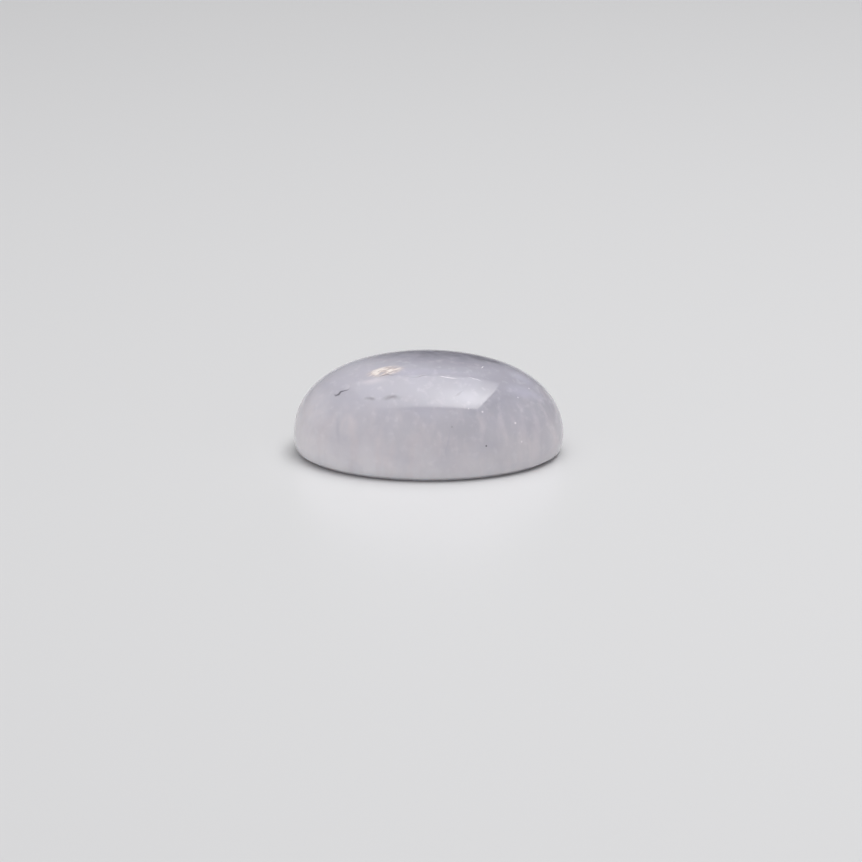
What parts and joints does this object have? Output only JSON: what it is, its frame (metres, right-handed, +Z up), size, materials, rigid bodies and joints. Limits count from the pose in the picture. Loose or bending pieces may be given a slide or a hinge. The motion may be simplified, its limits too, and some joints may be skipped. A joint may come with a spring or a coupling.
{
  "type": "moonstone cabochon",
  "caption": "Polished oval moonstone with a smooth high dome, a low side wall and a flat bevelled base to rest on or set in a mount.",
  "frame": {"origin": "middle of the flat base, under the middle of the oval outline", "axes": "+X along the oval's length, +Y across its width towards the back, +Z up through the dome"},
  "size_m": [0.018, 0.013, 0.0066],
  "materials": {
    "polished_moonstone": "polished, milky and translucent, with a cool lavender sheen"
  },
  "bodies": {
    "root": {"moonstone": "polished_moonstone"}
  },
  "joints": []
}
